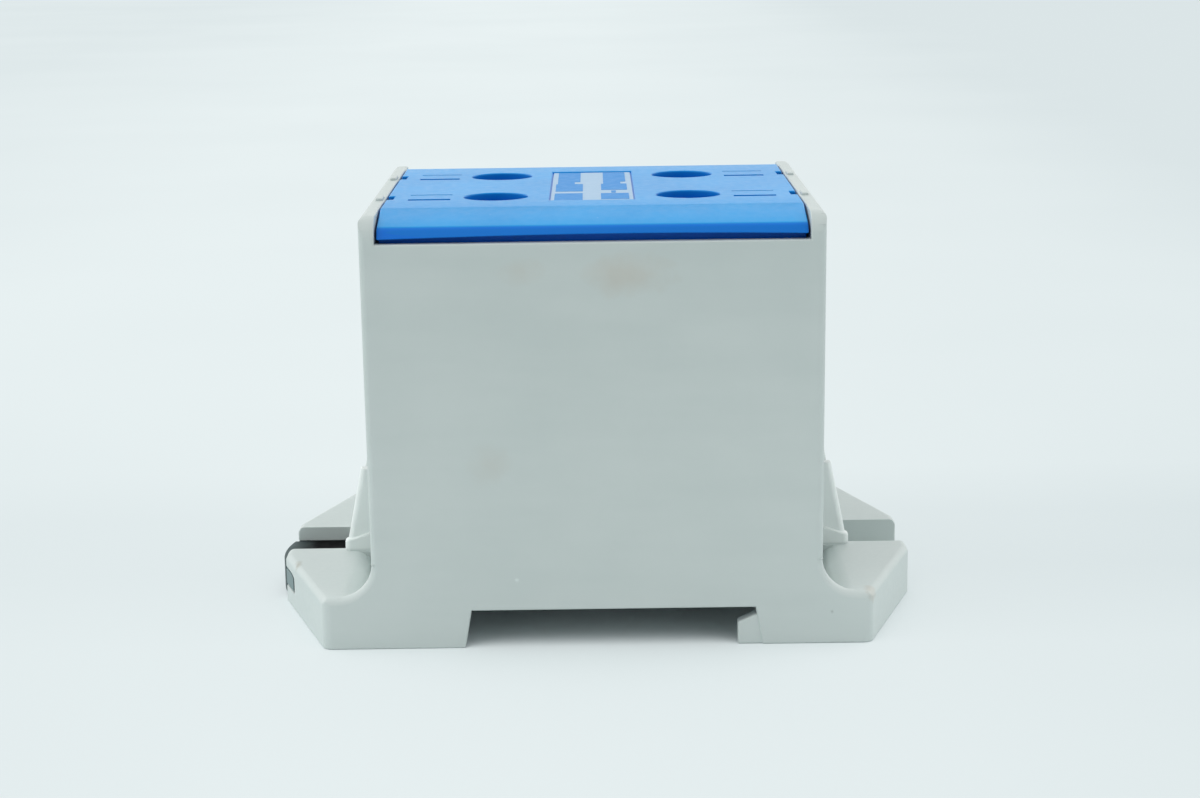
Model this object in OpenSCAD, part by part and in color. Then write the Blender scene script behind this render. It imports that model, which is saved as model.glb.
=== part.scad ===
// Rail-mounted power terminal block: moulded housing, snap-in lid, metal connector
// block with four clamp screws, and a sprung latch that grips a 35 mm rail.
// X runs across the rail (the cables' direction), Y along the rail, Z up.
// The origin is on the mounting plane, below the middle of the body.

/* [Housing] */
// Width over the end walls, at the rim of the front wall
body_w = 56.7; // [54:0.1:62]
// Depth along the rail
body_d = 60; // [57:0.5:70]
// Height of the front and back walls
rim_z = 51; // [50:0.5:56]
// Height that the end walls stand above the rim
end_rise = 3.2; // [2.4:0.1:3.6]
// Thickness of the end walls
end_wall = 1.9; // [1.4:0.1:2.4]
// Thickness of the front and back walls
side_wall = 2; // [1.4:0.1:2.6]
// Draft of the end walls, in degrees
draft = 0.36; // [0:0.02:0.6]
// Radius of the end walls' upper corners, seen from the end
end_corner_r = 2.8; // [1.5:0.1:3.4]
// Radius along the outer top edge of the end walls
end_edge_r = 0.8; // [0.4:0.1:1.2]
// Thickness of the floor above the rail
floor_t = 2.2; // [1.6:0.1:2.6]
// Thickness of the inner ribs
rib_t = 3; // [2:0.1:4]
// Walls left between the hollows under the feet
core_wall = 2; // [1.6:0.1:2.4]
// Distance of the outer ribs from the clamp screws
rib_offset = 6; // [4:0.1:8]

/* [Ears] */
// Length from ear end to ear end
ear_l = 83; // [80:0.5:92]
// Length over the ears at the front and back faces
ear_front_l = 68.4; // [67:0.2:74]
// Width of the ears' flat ends
ear_end_w = 16; // [14:0.2:20]
// Thickness of the ears
ear_h = 6.5; // [6:0.05:7.5]
// Radius of the body's upright corners and of the ears' top edges
ear_edge_r = 0.9; // [0.5:0.1:1.2]
// Radius of the ears' upright corners at the front and back
ear_corner_r = 1.4; // [0.8:0.1:2]
// Radius of the gussets' curve between the ears and the end walls
ear_fillet = 4.4; // [3:0.1:4.8]
// Thickness of the gussets along the rail
gusset_t = 1.4; // [1.3:0.1:2]
// Width of the pockets beside the end walls, behind the gussets
pocket_w = 1.6; // [0.8:0.1:2]
// Depth of the pockets below the ears' top
pocket_depth = 4; // [3:0.1:4.4]
// Radius of the pockets' outer top edge
pocket_edge_r = 2.6; // [1.6:0.1:2.8]
// Width of the open fixing slot
slot_w = 11.2; // [10:0.1:12.4]
// Length of the fixing slot
slot_l = 7.8; // [6.5:0.1:9]
// Width of the screw way below the fixing slot
screw_way_w = 5.6; // [5:0.1:6.4]
// Thickness of the seat under a fixing screw's head
screw_seat = 2.6; // [1.6:0.1:3.4]

/* [Collar] */
// Height of the collar's top above the mounting plane
collar_z = 17.7; // [14:0.1:18]
// Width of the collar above its lip
collar_w = 13.2; // [11:0.1:14]
// Amount that the lip stands proud of the collar on each side
collar_lip = 0.4; // [0.2:0.1:0.8]
// How far the collar's top stands out from the end wall
collar_top_reach = 3.2; // [2:0.1:3.4]
// Height of the lip above the ear
lip_h = 1.4; // [1:0.1:2]

/* [Rail notch] */
// Width of the notch at its top
notch_w = 35.4; // [35.2:0.1:36]
// Height of the notch
notch_h = 4.8; // [4.6:0.1:5.6]
// Sideways place of the notch
notch_x = 2; // [1:0.1:2.4]
// How far each side of the notch opens out towards the bottom
notch_flare = 0.85; // [0.4:0.05:1.2]
// Reach of the fixed hooks under the rail
hook_reach = 2.2; // [1.5:0.1:2.8]
// Thickness of the fixed hooks along the rail
hook_t = 2; // [1.5:0.1:4]
// Amount that the hooks lie behind the front and back faces
hook_inset = 0.2; // [0.1:0.1:1]
// Height of a hook's tip
hook_tip_h = 2.8; // [2.2:0.1:3.2]
// Height of a hook at its root
hook_root_h = 3.8; // [3.2:0.1:4]

/* [Cable clamps] */
// Spacing of the clamp screws across the rail
screw_pitch_x = 24.6; // [22:0.2:27]
// Spacing of the cable bores along the rail
bore_pitch = 22.7; // [21.5:0.1:24]
// Radius of the cable bores
bore_r = 8; // [6.5:0.1:8.4]
// Metal left around a bore
bar_edge = 3.5; // [2.5:0.1:4]
// Metal above a bore, where the screw's thread is
thread_h = 8; // [6:0.1:8.4]
// Height of the seat ribs below the connector block
seat_h = 9; // [8.4:0.1:9.4]
// Radius of the clamp screws
screw_r = 6; // [5:0.1:6.4]
// Length of the clamp screws
screw_len = 10.5; // [8:0.1:11]
// Width across the flats of the screws' sockets
socket_af = 6; // [4:0.5:6.5]
// Depth of the screws' sockets
socket_h = 6; // [3:0.5:6.5]
// Extra radius of the cable entries in the end walls
entry_clear = 1; // [0.4:0.1:1.2]

/* [Lid] */
// Height of the lid's flat top above the rim
lid_rise = 3.36; // [3:0.02:3.8]
// Thickness of the lid
lid_t = 1.8; // [1.2:0.1:2]
// Depth of the shallow slope at the lid's front and back
lid_slope_d = 6.6; // [4:0.1:7.5]
// Drop of the shallow slope
lid_slope_drop = 1.6; // [1:0.1:1.8]
// Depth of the steep slope below it
lid_lip_d = 1; // [0.6:0.1:1.4]
// Drop of the steep slope
lid_lip_drop = 1.2; // [0.8:0.1:1.3]
// Amount that the lid's edge lies behind the front face
lid_inset = 0.5; // [0.3:0.1:1]
// Radius of the screwdriver holes
lid_hole_r = 4.1; // [3.6:0.1:4.6]
// Wall of the guide tubes under the holes
tube_wall = 1.4; // [1:0.1:2]
// Thickness of the skirt inside the housing
skirt_t = 1.5; // [1:0.1:2]
// Height of the skirt below the rim
skirt_h = 3.5; // [2.5:0.1:4]
// Length of the marker slits
slit_l = 5.4; // [4:0.1:6]
// Width of the front slit of a pair
slit_w = 1.2; // [1:0.1:1.4]
// Width of the back slit of a pair
fine_slit_w = 0.5; // [0.4:0.1:0.8]
// Depth of the marker slits
slit_depth = 0.9; // [0.5:0.1:1]
// Spacing of the two slits of a pair
slit_pitch = 5; // [4:0.1:6]
// Distance from a hole's middle to the middle of its slits
slit_offset = 8.4; // [8:0.1:9]
// Width of the sunk label panel
panel_w = 10.8; // [8:0.1:12]
// Length of the sunk label panel
panel_l = 32; // [24:0.5:36]
// Depth of the sunk label panel
panel_depth = 0.3; // [0.2:0.05:0.6]
// Length of the catch notches in the lid's side edges
catch_l = 3.6; // [2.5:0.1:4.5]
// Depth of the catch notches into the lid's side edges
catch_depth = 0.8; // [0.5:0.1:1]
// Height of the catch pads on the end walls
catch_pad_h = 0.35; // [0.2:0.05:0.5]

/* [Rail latch] */
// Height of the latch's top face
latch_top = 4.6; // [4.3:0.05:4.7]
// Height of the latch's bottom face
latch_bottom = 0.5; // [0.4:0.1:1]
// Amount that the middle of the latch stands out past the ear's end
latch_proud = 1.1; // [0.7:0.1:1.4]
// Radius of the latch's curved outer end, in plan
latch_end_r = 21; // [18:1:30]
// Reach of the latch's nose under the rail
nose_reach = 2.1; // [1.5:0.1:2.6]
// Height of the nose's tip
nose_tip_h = 2.6; // [2:0.1:3]
// Height of the blunt face at the nose's tip
nose_face = 0.6; // [0.4:0.1:1]
// Height of the nose at the notch's side
nose_root_h = 3.5; // [3:0.1:3.6]
// Underside of the guide rails and of the grip bar
guide_bottom = 2.4; // [2:0.05:2.6]
// Thickness of the guide rails and of the grip bar
guide_t = 2.05; // [1.5:0.05:2.1]
// Reach of a guide rail into the housing's groove
guide_reach = 1.4; // [1:0.1:2]
// Thickness of the grip bar along X
grip_t = 1.4; // [1.1:0.1:1.8]
// Radius of the grip bar's upper inner edge
grip_r = 0.5; // [0.3:0.1:0.8]
// Travel of the latch when it is pulled
latch_travel = 3.5; // [2.5:0.1:4]
// Outside radius of the return spring
spring_r = 1.7; // [1.4:0.05:1.8]
// Radius of the spring's wire
wire_r = 0.25; // [0.2:0.05:0.35]
// Material between the spring's window and the rail notch
spring_land = 3; // [2:0.1:4]
// Length of the spring at rest
spring_l = 9.4; // [8:0.1:10]
// Number of turns in the spring
spring_turns = 7; // [5:1:9]
// Thickness of the peg that the spring pushes on
peg_t = 1.8; // [1.4:0.1:2.2]

/* [Clearances] */
// Gap between the lid and the end walls
lid_gap = 0.25; // [0.2:0.05:0.4]
// Gap between the skirt and the walls
skirt_gap = 0.4; // [0.3:0.05:0.6]
// Gap around the connector block
bar_gap = 0.25; // [0.15:0.05:0.4]
// Radial gap between a clamp screw and its hole
thread_gap = 0.1; // [0.05:0.05:0.2]
// Gap between a screw and what it stops at
screw_gap = 0.4; // [0.3:0.05:0.6]
// Sliding gap around the latch
latch_gap = 0.2; // [0.15:0.05:0.3]
// Gap at each end of the spring
spring_gap = 0.1; // [0.05:0.05:0.2]

/* [Hidden] */
$fn = 64;
cut = 1;

housing_colour = [0.70, 0.745, 0.745];
lid_colour = [0.40, 0.68, 0.92];
latch_colour = [0.09, 0.10, 0.11];
bar_colour = [0.80, 0.81, 0.82];
screw_colour = [0.62, 0.63, 0.65];

// Heights
end_top = rim_z + end_rise;
lid_top = rim_z + lid_rise;
lid_lip_z = lid_top - lid_slope_drop;
lid_edge_z = lid_lip_z - lid_lip_drop;
skirt_z = rim_z - skirt_h;
floor_z = notch_h + floor_t;
bar_z = floor_z + seat_h;
bore_z = bar_z + bar_edge + bore_r;
bar_top = bore_z + bore_r + thread_h;
screw_z = bore_z + bore_r + screw_gap;
tube_z = screw_z + screw_len + screw_gap;

// Half width of the body's outside at a height, with its draft
function half_w(z) = body_w / 2 + (z - rim_z) * tan(draft);
window_w = 2 * (half_w(rim_z) - end_wall);
lid_w = window_w - 2 * lid_gap;
skirt_w = window_w - 2 * skirt_gap;
skirt_d = body_d - 2 * side_wall - 2 * skirt_gap;
bar_l = 2 * (half_w(floor_z) - end_wall - bar_gap);
bar_d = bore_pitch + 2 * bore_r + 2 * bar_edge;
rib_x = screw_pitch_x / 2 + rib_offset;

// Places of the lid's front bends, from the middle
lid_edge_y = body_d / 2 - lid_inset;
lid_lip_y = lid_edge_y - lid_lip_d;
lid_flat_y = lid_lip_y - lid_slope_d;

// Corners of the right ear's front side, in plan
ear_front = [ear_front_l / 2, -body_d / 2];
ear_tip = [ear_l / 2, -ear_end_w / 2];

// Places along the rail's cross direction
notch_left = notch_x - notch_w / 2;
notch_right = notch_x + notch_w / 2;
slot_x = ear_l / 2 - slot_l;
latch_end = -ear_l / 2 - latch_proud;
nose_x = notch_left + nose_reach;
channel_w = slot_w;
latch_w = channel_w - 2 * latch_gap;
guide_w = latch_w + 2 * guide_reach;
guide_inner = notch_left - notch_flare - latch_gap;
guide_outer = -slot_x + latch_travel + latch_gap;
spring_z = (latch_top + latch_bottom) / 2;
window_half = spring_r + latch_gap;
spring_x1 = guide_inner - spring_land;
spring_x0 = spring_x1 - spring_l;
peg_x = spring_x0 - spring_gap - peg_t;

// A profile drawn in X and Z, given a depth along Y
module along_y(d) {
  rotate([90, 0, 0]) linear_extrude(height = d, center = true) children();
}

// A profile drawn in Y and Z, given a width along X
module along_x(w) {
  rotate([90, 0, 90]) linear_extrude(height = w, center = true) children();
}

// A box with a middle in X and Y and a bottom and top in Z
module slab(x0, x1, w, z0, z1) {
  translate([x0, -w / 2, z0]) cube([x1 - x0, w, z1 - z0]);
}

module mirror_x() {
  children();
  mirror([1, 0, 0]) children();
}

module mirror_y() {
  children();
  mirror([0, 1, 0]) children();
}

// Rectangle that stands on zero, with two round upper corners
module round_top(w, h, r) {
  translate([-w / 2, 0]) square([w, h - r]);
  translate([-w / 2 + r, 0]) square([w - 2 * r, h]);
  for (s = [-1, 1])
    translate([s * (w / 2 - r), h - r]) circle(r);
}

// Outer section of the body across the rail: drafted sides, rounded top edges
module body_section() {
  edge_z = end_top - end_edge_r;
  polygon([[-half_w(0), 0], [half_w(0), 0], [half_w(edge_z), edge_z], [-half_w(edge_z), edge_z]]);
  translate([-half_w(edge_z) + end_edge_r, 0]) square([2 * half_w(edge_z) - 2 * end_edge_r, end_top]);
  for (s = [-1, 1])
    translate([s * (half_w(edge_z) - end_edge_r), edge_z]) circle(end_edge_r);
}

module body_block() {
  intersection() {
    along_y(body_d) body_section();
    along_x(body_w + 2) round_top(body_d, end_top, end_corner_r);
  }
}

// Profile that rounds an edge: the edge lies at zero, the material in the quadrant of +X and +Y
module edge_profile(r) {
  difference() {
    translate([-cut, -cut]) square(r + cut);
    translate([r, r]) circle(r);
  }
}

// Rounds a level edge along +X, with the material below it and on its +Y side
module level_edge_cutter(r, l) {
  rotate([0, 90, 0]) linear_extrude(l) edge_profile(r);
}

// What lies outside the arc that rounds an ear's front corner, in plan
module ear_corner_profile(turn) {
  reach = ear_corner_r * tan(turn / 2);
  middle = ear_front + [-reach, ear_corner_r];
  difference() {
    polygon([middle, ear_front - [reach, 0], 2 * ear_front - middle,
      ear_front + reach * [cos(turn), sin(turn)]]);
    translate(middle) circle(ear_corner_r);
  }
}

// Rounds the right front corner: up the drafted wall, round the fillet and along the ear
module corner_cutter() {
  fillet_x = half_w(ear_h) + ear_fillet;
  fillet_z = ear_h + ear_fillet;
  ear_side = ear_tip - ear_front;
  ear_turn = atan2(ear_side.y, ear_side.x);
  translate([half_w(fillet_z), -body_d / 2, fillet_z]) rotate([0, draft, 0]) mirror([1, 0, 0])
    linear_extrude(end_top) edge_profile(ear_edge_r);
  translate([fillet_x, -body_d / 2, fillet_z]) rotate([-90, 0, 0]) rotate([0, 0, 90])
    rotate_extrude(angle = 90) translate([ear_fillet, 0]) edge_profile(ear_edge_r);
  translate([fillet_x, -body_d / 2, ear_h])
    level_edge_cutter(ear_edge_r, max(ear_front.x - fillet_x, 0) + cut);
  translate([ear_front.x, ear_front.y, ear_h]) rotate(ear_turn) translate([-cut, 0, 0])
    level_edge_cutter(ear_edge_r, norm(ear_side) + 2 * cut);
  translate([0, 0, -cut]) linear_extrude(ear_h + 2 * cut) ear_corner_profile(ear_turn);
}

// Plan of the two ears: a long hexagon
module ear_plan() {
  a = ear_front;
  b = ear_tip;
  polygon([[-a.x, a.y], a, b, [b.x, -b.y], [a.x, -a.y], -a, -b, [-b.x, b.y]]);
}

// Section of the gussets: they curve from the ears up to the end walls
module gusset_section() {
  r = ear_fillet;
  for (s = [0, 1]) mirror([s, 0]) difference() {
    translate([0, ear_h - cut]) square([half_w(ear_h) + r, r + cut]);
    translate([half_w(ear_h) + r, ear_h + r]) circle(r);
  }
}

module ears() {
  intersection() {
    union() {
      along_y(body_d) round_top(ear_l, ear_h, ear_edge_r);
      mirror_y() translate([0, (gusset_t - body_d) / 2, 0]) along_y(gusset_t) gusset_section();
    }
    linear_extrude(ear_h + ear_fillet) ear_plan();
  }
}

// Pocket in the right ear between the front gusset and the collar, with a round outer edge
module ear_pocket() {
  r = pocket_edge_r;
  y0 = gusset_t - body_d / 2;
  y1 = -collar_w / 2 - 2 * collar_lip;
  translate([half_w(ear_h), (y0 + y1) / 2, ear_h]) along_y(y1 - y0) difference() {
    translate([0, -pocket_depth]) square([pocket_w + r, pocket_depth]);
    translate([pocket_w + r, -r]) circle(r);
    translate([pocket_w, -pocket_depth - cut]) square([r + cut, pocket_depth + cut - r]);
  }
}

// Tapered collar on an end wall, above the inner end of the fixing slot
module collar() {
  wall_x = half_w(0) - end_wall / 2;
  top_x = half_w(collar_z) + collar_top_reach;
  lip_z = ear_h + lip_h;
  along_y(collar_w)
    polygon([[wall_x, 0], [slot_x - collar_lip, ear_h], [slot_x - collar_lip, lip_z],
      [top_x, collar_z], [wall_x, collar_z]]);
  along_y(collar_w + 2 * collar_lip)
    polygon([[wall_x, 0], [slot_x, 0], [slot_x, lip_z], [slot_x - lip_h, lip_z + collar_lip],
      [wall_x + ear_fillet / 2, lip_z + lip_h], [wall_x, lip_z + 2 * lip_h]]);
}

module cavity() {
  floor_x = half_w(floor_z) - end_wall;
  along_y(body_d - 2 * side_wall)
    polygon([[-floor_x, floor_z], [floor_x, floor_z], [window_w / 2, rim_z], [window_w / 2, end_top + cut],
      [-window_w / 2, end_top + cut], [-window_w / 2, rim_z]]);
  slab(-window_w / 2, window_w / 2, body_d + 2 * cut, rim_z, end_top + cut);
}

// Hollows that keep the feet's walls even: two in front and two behind, open below
module foot_hollows(x0, x1, y0) {
  pocket_l = (body_d / 2 - y0 - 2 * core_wall) / 2;
  mirror_y() for (y = [y0, y0 + pocket_l + core_wall])
    translate([x0, y, -cut]) cube([x1 - x0, pocket_l, notch_h + cut]);
}

// The notch that sits over the rail
module rail_notch() {
  along_y(body_d + 2 * cut)
    polygon([[notch_left, notch_h], [notch_right, notch_h],
      [notch_right + notch_flare, 0], [notch_right + notch_flare, -cut],
      [notch_left - notch_flare, -cut], [notch_left - notch_flare, 0]]);
}

// One fixed hook at the front; it runs into the notch's right side
module hook() {
  tip = notch_right - hook_reach;
  root = notch_right + notch_flare + cut;
  translate([0, -body_d / 2 + hook_inset + hook_t / 2, 0]) along_y(hook_t)
    polygon([[tip, 0], [root, 0], [root, hook_root_h], [notch_right, hook_root_h], [tip, hook_tip_h]]);
}

// Open slot in the right ear: room for a screw's head above a narrower way for its shank
module fixing_slot() {
  slab(slot_x, ear_l / 2 + cut, slot_w, screw_seat, ear_h + cut);
  slab(slot_x + (slot_w - screw_way_w) / 2, ear_l / 2 + cut, screw_way_w, -cut, screw_seat + cut);
}

// Channel for the latch in the left ear and foot, with a groove for its guide rails
module latch_channel() {
  groove_top = guide_bottom + guide_t + latch_gap;
  slab(-ear_l / 2 - cut, notch_left, channel_w, -cut, latch_top + latch_gap);
  slab(-ear_l / 2 - cut, -slot_x, channel_w, -cut, ear_h + cut);
  slab(-ear_l / 2 - cut, notch_left, guide_w + 2 * latch_gap, guide_bottom - latch_gap, groove_top);
  along_y(body_d) grip_section(latch_gap, cut);
}

// Peg that hangs from the channel's roof and backs the spring
module spring_peg() {
  slab(peg_x, peg_x + peg_t, 2 * spring_r, latch_bottom + latch_gap, floor_z);
}

// Round cable entries with a small lead-in, in line with the bores
module cable_entries() {
  entry_r = bore_r + entry_clear;
  for (sx = [0, 1], sy = [-1, 1]) mirror([sx, 0, 0])
    translate([0, sy * bore_pitch / 2, bore_z]) rotate([0, 90, 0]) {
      cylinder(r = entry_r, h = body_w);
      translate([0, 0, half_w(bore_z) - end_wall / 2])
        cylinder(r1 = entry_r, r2 = entry_r + end_wall / 2 + cut, h = end_wall / 2 + cut);
    }
}

// Cross ribs that the connector block sits on, and upright ribs that hold it and seat the lid
module inner_ribs() {
  inner_d = body_d - 2 * side_wall + cut;
  rib_y = bar_d / 2 + bar_gap;
  for (x = [-rib_x, 0, rib_x]) {
    slab(x - rib_t / 2, x + rib_t / 2, inner_d, floor_z - cut, bar_z);
    mirror_y() translate([x - rib_t / 2, rib_y, floor_z - cut])
      cube([rib_t, inner_d / 2 - rib_y, skirt_z - floor_z + cut]);
  }
}

// Low pads on the end walls, beside the lid's catch notches
module catch_pads() {
  pad_x = window_w / 2 + lid_gap;
  mirror_x() for (s = [-1, 1])
    translate([pad_x, s * bore_pitch / 2 - catch_l / 2, end_top - cut])
      cube([half_w(end_top) - end_edge_r - pad_x, catch_l, cut + catch_pad_h]);
}

module housing() {
  color(housing_colour) {
    difference() {
      union() {
        body_block();
        ears();
        mirror_x() collar();
      }
      mirror_x() mirror_y() {
        corner_cutter();
        ear_pocket();
      }
      cavity();
      rail_notch();
      foot_hollows(core_wall - half_w(0), notch_left - notch_flare - core_wall,
        guide_w / 2 + latch_gap + core_wall);
      foot_hollows(notch_right + notch_flare + core_wall, half_w(0) - core_wall, core_wall / 2);
      fixing_slot();
      latch_channel();
      cable_entries();
    }
    mirror_y() hook();
    spring_peg();
    inner_ribs();
    catch_pads();
  }
}

// Section of the lid along the rail: flat top, a shallow slope, a steep edge
module lid_section() {
  under_y = lid_lip_y - lid_t / 2;
  polygon([[-lid_edge_y, lid_edge_z], [-lid_lip_y, lid_lip_z], [-lid_flat_y, lid_top],
    [lid_flat_y, lid_top], [lid_lip_y, lid_lip_z], [lid_edge_y, lid_edge_z],
    [under_y, lid_edge_z], [lid_flat_y, lid_top - lid_t],
    [-lid_flat_y, lid_top - lid_t], [-under_y, lid_edge_z]]);
}

// Rim that hangs inside the housing's walls, up to the middle of the lid's thickness
module lid_skirt() {
  top_z = lid_top - lid_t / 2;
  slope = lid_slope_drop / lid_slope_d;
  low_z = top_z - (skirt_d / 2 - lid_flat_y) * slope;
  intersection() {
    along_x(lid_w)
      polygon([[-skirt_d / 2, 0], [-skirt_d / 2, low_z], [-lid_flat_y, top_z],
        [lid_flat_y, top_z], [skirt_d / 2, low_z], [skirt_d / 2, 0]]);
    translate([0, 0, skirt_z]) linear_extrude(lid_top - skirt_z) difference() {
      square([skirt_w, skirt_d], center = true);
      square([skirt_w - 2 * skirt_t, skirt_d - 2 * skirt_t], center = true);
    }
  }
}

module at_screws() {
  for (sx = [-1, 1], sy = [-1, 1])
    translate([sx * screw_pitch_x / 2, sy * bore_pitch / 2, 0]) children();
}

// Pair of marker slits outside each screwdriver hole
module marker_slits() {
  slit_x = screw_pitch_x / 2 + slit_offset;
  for (sx = [-1, 1], sy = [-1, 1]) translate([sx * slit_x, sy * bore_pitch / 2, lid_top]) {
    translate([0, -slit_pitch / 2, 0]) cube([slit_l, slit_w, 2 * slit_depth], center = true);
    translate([0, slit_pitch / 2, 0]) cube([slit_l, fine_slit_w, 2 * slit_depth], center = true);
  }
}

module lid() {
  color(lid_colour) difference() {
    union() {
      along_x(lid_w) lid_section();
      lid_skirt();
      at_screws() translate([0, 0, tube_z])
        cylinder(r = lid_hole_r + tube_wall, h = lid_top - lid_t / 2 - tube_z);
    }
    at_screws() translate([0, 0, tube_z - cut]) cylinder(r = lid_hole_r, h = lid_top - tube_z + 2 * cut);
    marker_slits();
    translate([-panel_w / 2, -panel_l / 2, lid_top - panel_depth]) cube([panel_w, panel_l, cut]);
    mirror_x() for (s = [-1, 1])
      translate([lid_w / 2 - catch_depth, s * bore_pitch / 2 - catch_l / 2, lid_top - lid_t - cut])
        cube([catch_depth + cut, catch_l, lid_t + 2 * cut]);
  }
}

// Metal block with two cable bores and four tapped holes into them
module connector_block() {
  color(bar_colour) difference() {
    slab(-bar_l / 2, bar_l / 2, bar_d, bar_z, bar_top);
    for (s = [-1, 1]) translate([-bar_l / 2 - cut, s * bore_pitch / 2, bore_z])
      rotate([0, 90, 0]) cylinder(r = bore_r, h = bar_l + 2 * cut);
    at_screws() translate([0, 0, bore_z]) cylinder(r = screw_r + thread_gap, h = bar_top - bore_z + cut);
  }
}

// Grub screw with a hexagon socket and a bevelled tip
module clamp_screw(sx, sy) {
  tip_h = screw_r / 4;
  color(screw_colour)
    translate([sx * screw_pitch_x / 2, sy * bore_pitch / 2, screw_z]) difference() {
      union() {
        cylinder(r1 = screw_r - tip_h, r2 = screw_r, h = tip_h);
        translate([0, 0, tip_h]) cylinder(r = screw_r, h = screw_len - tip_h);
      }
      translate([0, 0, screw_len - socket_h]) cylinder(r = socket_af / sqrt(3), h = socket_h + cut, $fn = 6);
    }
}

// Section of the latch across the rail: a bar with a sloped nose
module latch_section() {
  nose_x0 = notch_left - notch_flare;
  polygon([[latch_end, latch_bottom], [nose_x - nose_tip_h / 2, latch_bottom],
    [nose_x, nose_tip_h - nose_face], [nose_x, nose_tip_h],
    [nose_x0, nose_root_h], [nose_x0, latch_top], [latch_end, latch_top]]);
}

// Bar of the latch, with an end that curves out past the ear
module latch_bar() {
  intersection() {
    along_y(latch_w) latch_section();
    translate([latch_end + latch_end_r, 0, 0]) cylinder(r = latch_end_r, h = ear_h);
  }
}

// Section of the grip bar, with a gap around it and a reach out past the ear's end
module grip_section(gap, reach) {
  w = reach + grip_t + gap;
  h = guide_t + 2 * gap;
  r = grip_r + gap;
  translate([-ear_l / 2 - reach, guide_bottom - gap]) {
    square([w - r, h]);
    square([w, h - r]);
    translate([w - r, h - r]) circle(r);
  }
}

module rail_latch() {
  color(latch_colour) difference() {
    union() {
      latch_bar();
      slab(guide_outer, guide_inner, guide_w, guide_bottom, guide_bottom + guide_t);
      intersection() {
        along_y(body_d) grip_section(0, 0);
        linear_extrude(ear_h) ear_plan();
      }
    }
    slab(peg_x - latch_gap, spring_x1 + spring_gap, 2 * window_half, latch_bottom - cut, latch_top + cut);
  }
}

// Points of one ring of the spring's wire, at an angle along its helix
wire_sides = 6;
turn_steps = 14;
coil_r = spring_r - wire_r;
ring_count = spring_turns * turn_steps;
function wire_ring(i) = let(a = 360 * i / turn_steps,
    x = spring_x0 + wire_r + (spring_l - 2 * wire_r) * i / ring_count)
  [for (k = [0 : wire_sides - 1]) let(b = 360 * k / wire_sides, r = coil_r + wire_r * cos(b))
    [x + wire_r * sin(b), r * cos(a), spring_z + r * sin(a)]];

// Return spring: a wire swept along a helix
module latch_spring() {
  n = wire_sides;
  points = [for (i = [0 : ring_count]) each wire_ring(i)];
  sides = [for (i = [0 : ring_count - 1], k = [0 : n - 1])
    [i * n + k, i * n + (k + 1) % n, (i + 1) * n + (k + 1) % n, (i + 1) * n + k]];
  first = [[for (k = [n - 1 : -1 : 0]) k]];
  last = [[for (k = [0 : n - 1]) ring_count * n + k]];
  color(screw_colour) polyhedron(points, concat(sides, first, last), convexity = 10);
}

housing();
lid();
connector_block();
rail_latch();
latch_spring();
clamp_screw(-1, -1);  // clamp_screw_front_left
clamp_screw(1, -1);  // clamp_screw_front_right
clamp_screw(-1, 1);  // clamp_screw_rear_left
clamp_screw(1, 1);  // clamp_screw_rear_right
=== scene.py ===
import math

import bmesh
import bpy
from mathutils import Matrix, Vector


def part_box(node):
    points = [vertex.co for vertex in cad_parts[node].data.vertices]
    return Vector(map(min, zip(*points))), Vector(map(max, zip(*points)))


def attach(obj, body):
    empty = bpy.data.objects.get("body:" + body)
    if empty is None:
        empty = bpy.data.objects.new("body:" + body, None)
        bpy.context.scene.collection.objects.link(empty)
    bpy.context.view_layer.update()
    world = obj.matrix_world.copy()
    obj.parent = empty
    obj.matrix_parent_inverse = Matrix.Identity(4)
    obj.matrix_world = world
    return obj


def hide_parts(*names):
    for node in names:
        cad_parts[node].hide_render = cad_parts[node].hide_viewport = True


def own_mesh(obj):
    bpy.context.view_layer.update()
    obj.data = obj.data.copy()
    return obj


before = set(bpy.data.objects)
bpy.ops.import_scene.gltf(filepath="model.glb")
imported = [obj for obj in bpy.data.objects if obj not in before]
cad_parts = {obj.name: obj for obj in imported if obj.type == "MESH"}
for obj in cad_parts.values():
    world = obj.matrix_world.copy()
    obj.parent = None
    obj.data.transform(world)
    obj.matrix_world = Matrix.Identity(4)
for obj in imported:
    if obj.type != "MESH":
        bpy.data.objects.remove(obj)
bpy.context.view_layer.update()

MM = 0.001

# The camera, fitted to the photograph
PHOTO_WIDTH = 1200
CAMERA_PLACE = Vector((0.26, -317.45, 91.47)) * MM
CAMERA_PITCH = math.radians(11.77)
CAMERA_YAW = math.radians(0.077)
CAMERA_ROLL = math.radians(0.775)
FOCAL_PIXELS = 2400
SENSOR_WIDTH = 36
CLIP_START = 0.01

# The studio's light: a level, shares added towards the sides, the back and the top, and a soft key light
SKY_LEVEL = 0.03
SKY_SIDES = 1.15
SKY_BACK = 0.9
SKY_TOP = 0.45
KEY_POWER = 0.65
KEY_TOWARDS = (0.4, 0.3, -0.85)
KEY_SPREAD = math.radians(60)

# Edge radii that the CAD solids leave sharp
FINE_EDGE = 0.2 * MM
LIP_EDGE = 0.3 * MM
COLLAR_EDGE = 0.8 * MM
LID_BEND = 0.6 * MM
METAL_EDGE = 0.4 * MM
LATCH_EDGE = 0.12 * MM

# What counts as a sharp edge, a flat face, smooth shading, one point, one height, a cut and an upright edge
SHARP_ANGLE = math.radians(24)
FLAT_ANGLE = math.radians(0.6)
SMOOTH_ANGLE = math.radians(40)
WELD = 0.02 * MM
SAME_HEIGHT = 1e-6
CUT_WIDTH = 1e-7
UPRIGHT_SHARE = 0.6

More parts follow.
